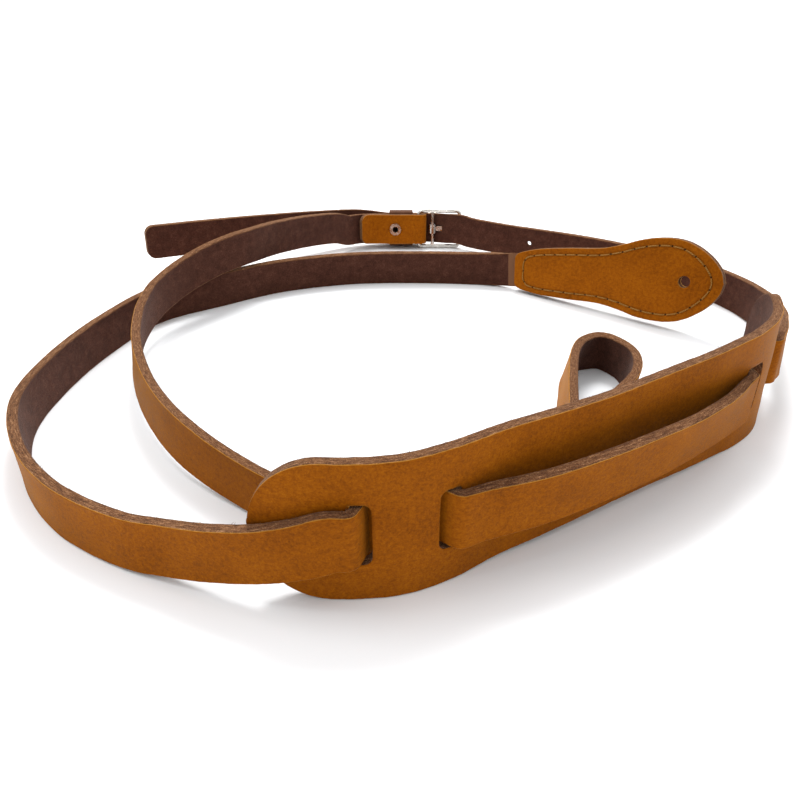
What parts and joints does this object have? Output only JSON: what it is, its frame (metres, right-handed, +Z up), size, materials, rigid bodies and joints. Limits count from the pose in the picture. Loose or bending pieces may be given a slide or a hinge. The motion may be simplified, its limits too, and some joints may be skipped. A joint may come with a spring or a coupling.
{
  "type": "mandolin strap",
  "caption": "Leather mandolin strap standing on edge in two nested loops, with a slotted shoulder pad, a sewn pin tab, a small buckle and a scroll loop.",
  "frame": {"origin": "middle of the bounding box at the level the strap stands on", "axes": "+Z up from the table, +Y away from the side where the shoulder pad stands, +X to the right seen from that side"},
  "size_m": [0.283, 0.2814, 0.0406],
  "materials": {
    "strap_leather": "oiled full grain, raw cut edges and raw flesh side",
    "nickel": "nickel plate, lightly worn"
  },
  "bodies": {
    "root": {"long_strap": "strap_leather", "buckle_strap": "strap_leather", "shoulder_pad": "strap_leather", "tab_front_leaf": "strap_leather", "tab_back_leaf": "strap_leather", "keeper_loop": "strap_leather", "buckle_frame": "nickel", "buckle_prong": "nickel", "fold_rivet": "nickel", "loop_rivet": "nickel"}
  },
  "joints": []
}
